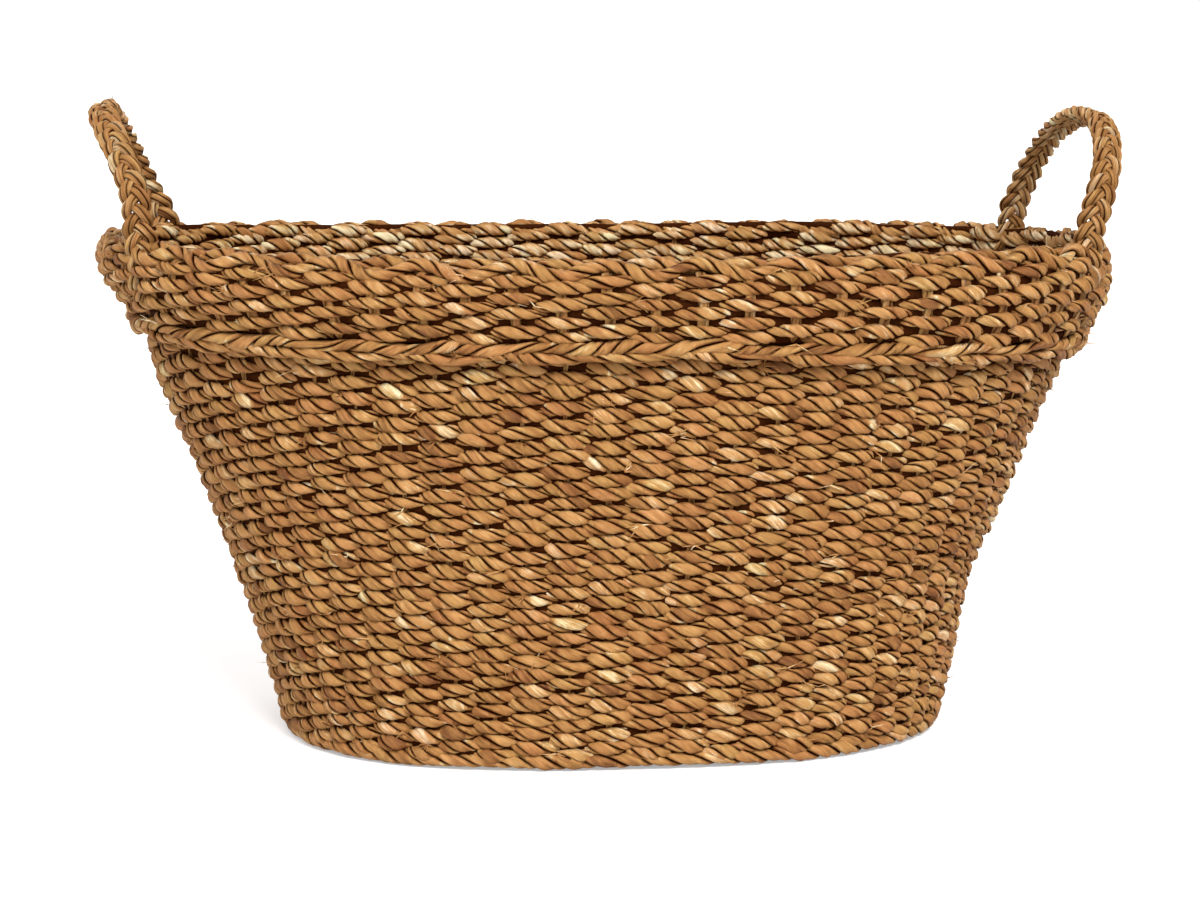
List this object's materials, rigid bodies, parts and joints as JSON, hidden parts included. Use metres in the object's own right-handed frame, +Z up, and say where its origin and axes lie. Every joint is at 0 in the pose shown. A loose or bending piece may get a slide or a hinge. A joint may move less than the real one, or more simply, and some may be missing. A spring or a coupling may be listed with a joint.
{
  "type": "woven laundry basket",
  "caption": "Oval flared laundry basket woven from twisted seagrass cord over upright stakes, with a folded-down cuff at the rim and a plaited loop handle at each end.",
  "frame": {"origin": "on the floor under the middle of the basket", "axes": "+X along the long axis towards the right handle, +Z up, -Y towards the front"},
  "size_m": [0.5992, 0.4088, 0.37],
  "materials": {
    "weave_cord": "dry matt twisted seagrass cord, golden tan with pale and rust leaves",
    "stake_cord": "dry matt twisted seagrass cord, a little darker",
    "border_cord": "dry matt twisted and twined seagrass cord",
    "handle_plait": "dry matt plaited seagrass leaves, slightly glossy on the folds"
  },
  "bodies": {
    "basket": {"foot_border": "border_cord", "base_weave": "weave_cord", "wall_weave": "weave_cord", "stakes_front": "stake_cord", "stakes_back": "stake_cord", "stakes_left_end": "stake_cord", "stakes_right_end": "stake_cord", "cuff_weave": "weave_cord", "hem_braid": "border_cord", "rim_cord": "border_cord", "left_handle_tails": "handle_plait", "right_handle_tails": "handle_plait"},
    "left_handle": {"left_handle_strand_a": "handle_plait", "left_handle_strand_b": "handle_plait", "left_handle_strand_c": "handle_plait"},
    "right_handle": {"right_handle_strand_a": "handle_plait", "right_handle_strand_b": "handle_plait", "right_handle_strand_c": "handle_plait"}
  },
  "joints": [
    {"name": "left_handle_bend", "type": "hinge", "parent": "basket", "child": "left_handle", "pos_m": [-0.26459, 0, 0.288], "axis": [0, 1, 0], "range_deg": [-20, 60], "stiffness_Nm_per_rad": 0.6},
    {"name": "right_handle_bend", "type": "hinge", "parent": "basket", "child": "right_handle", "pos_m": [0.26459, 0, 0.288], "axis": [0, -1, 0], "range_deg": [-20, 60], "stiffness_Nm_per_rad": 0.6}
  ]
}
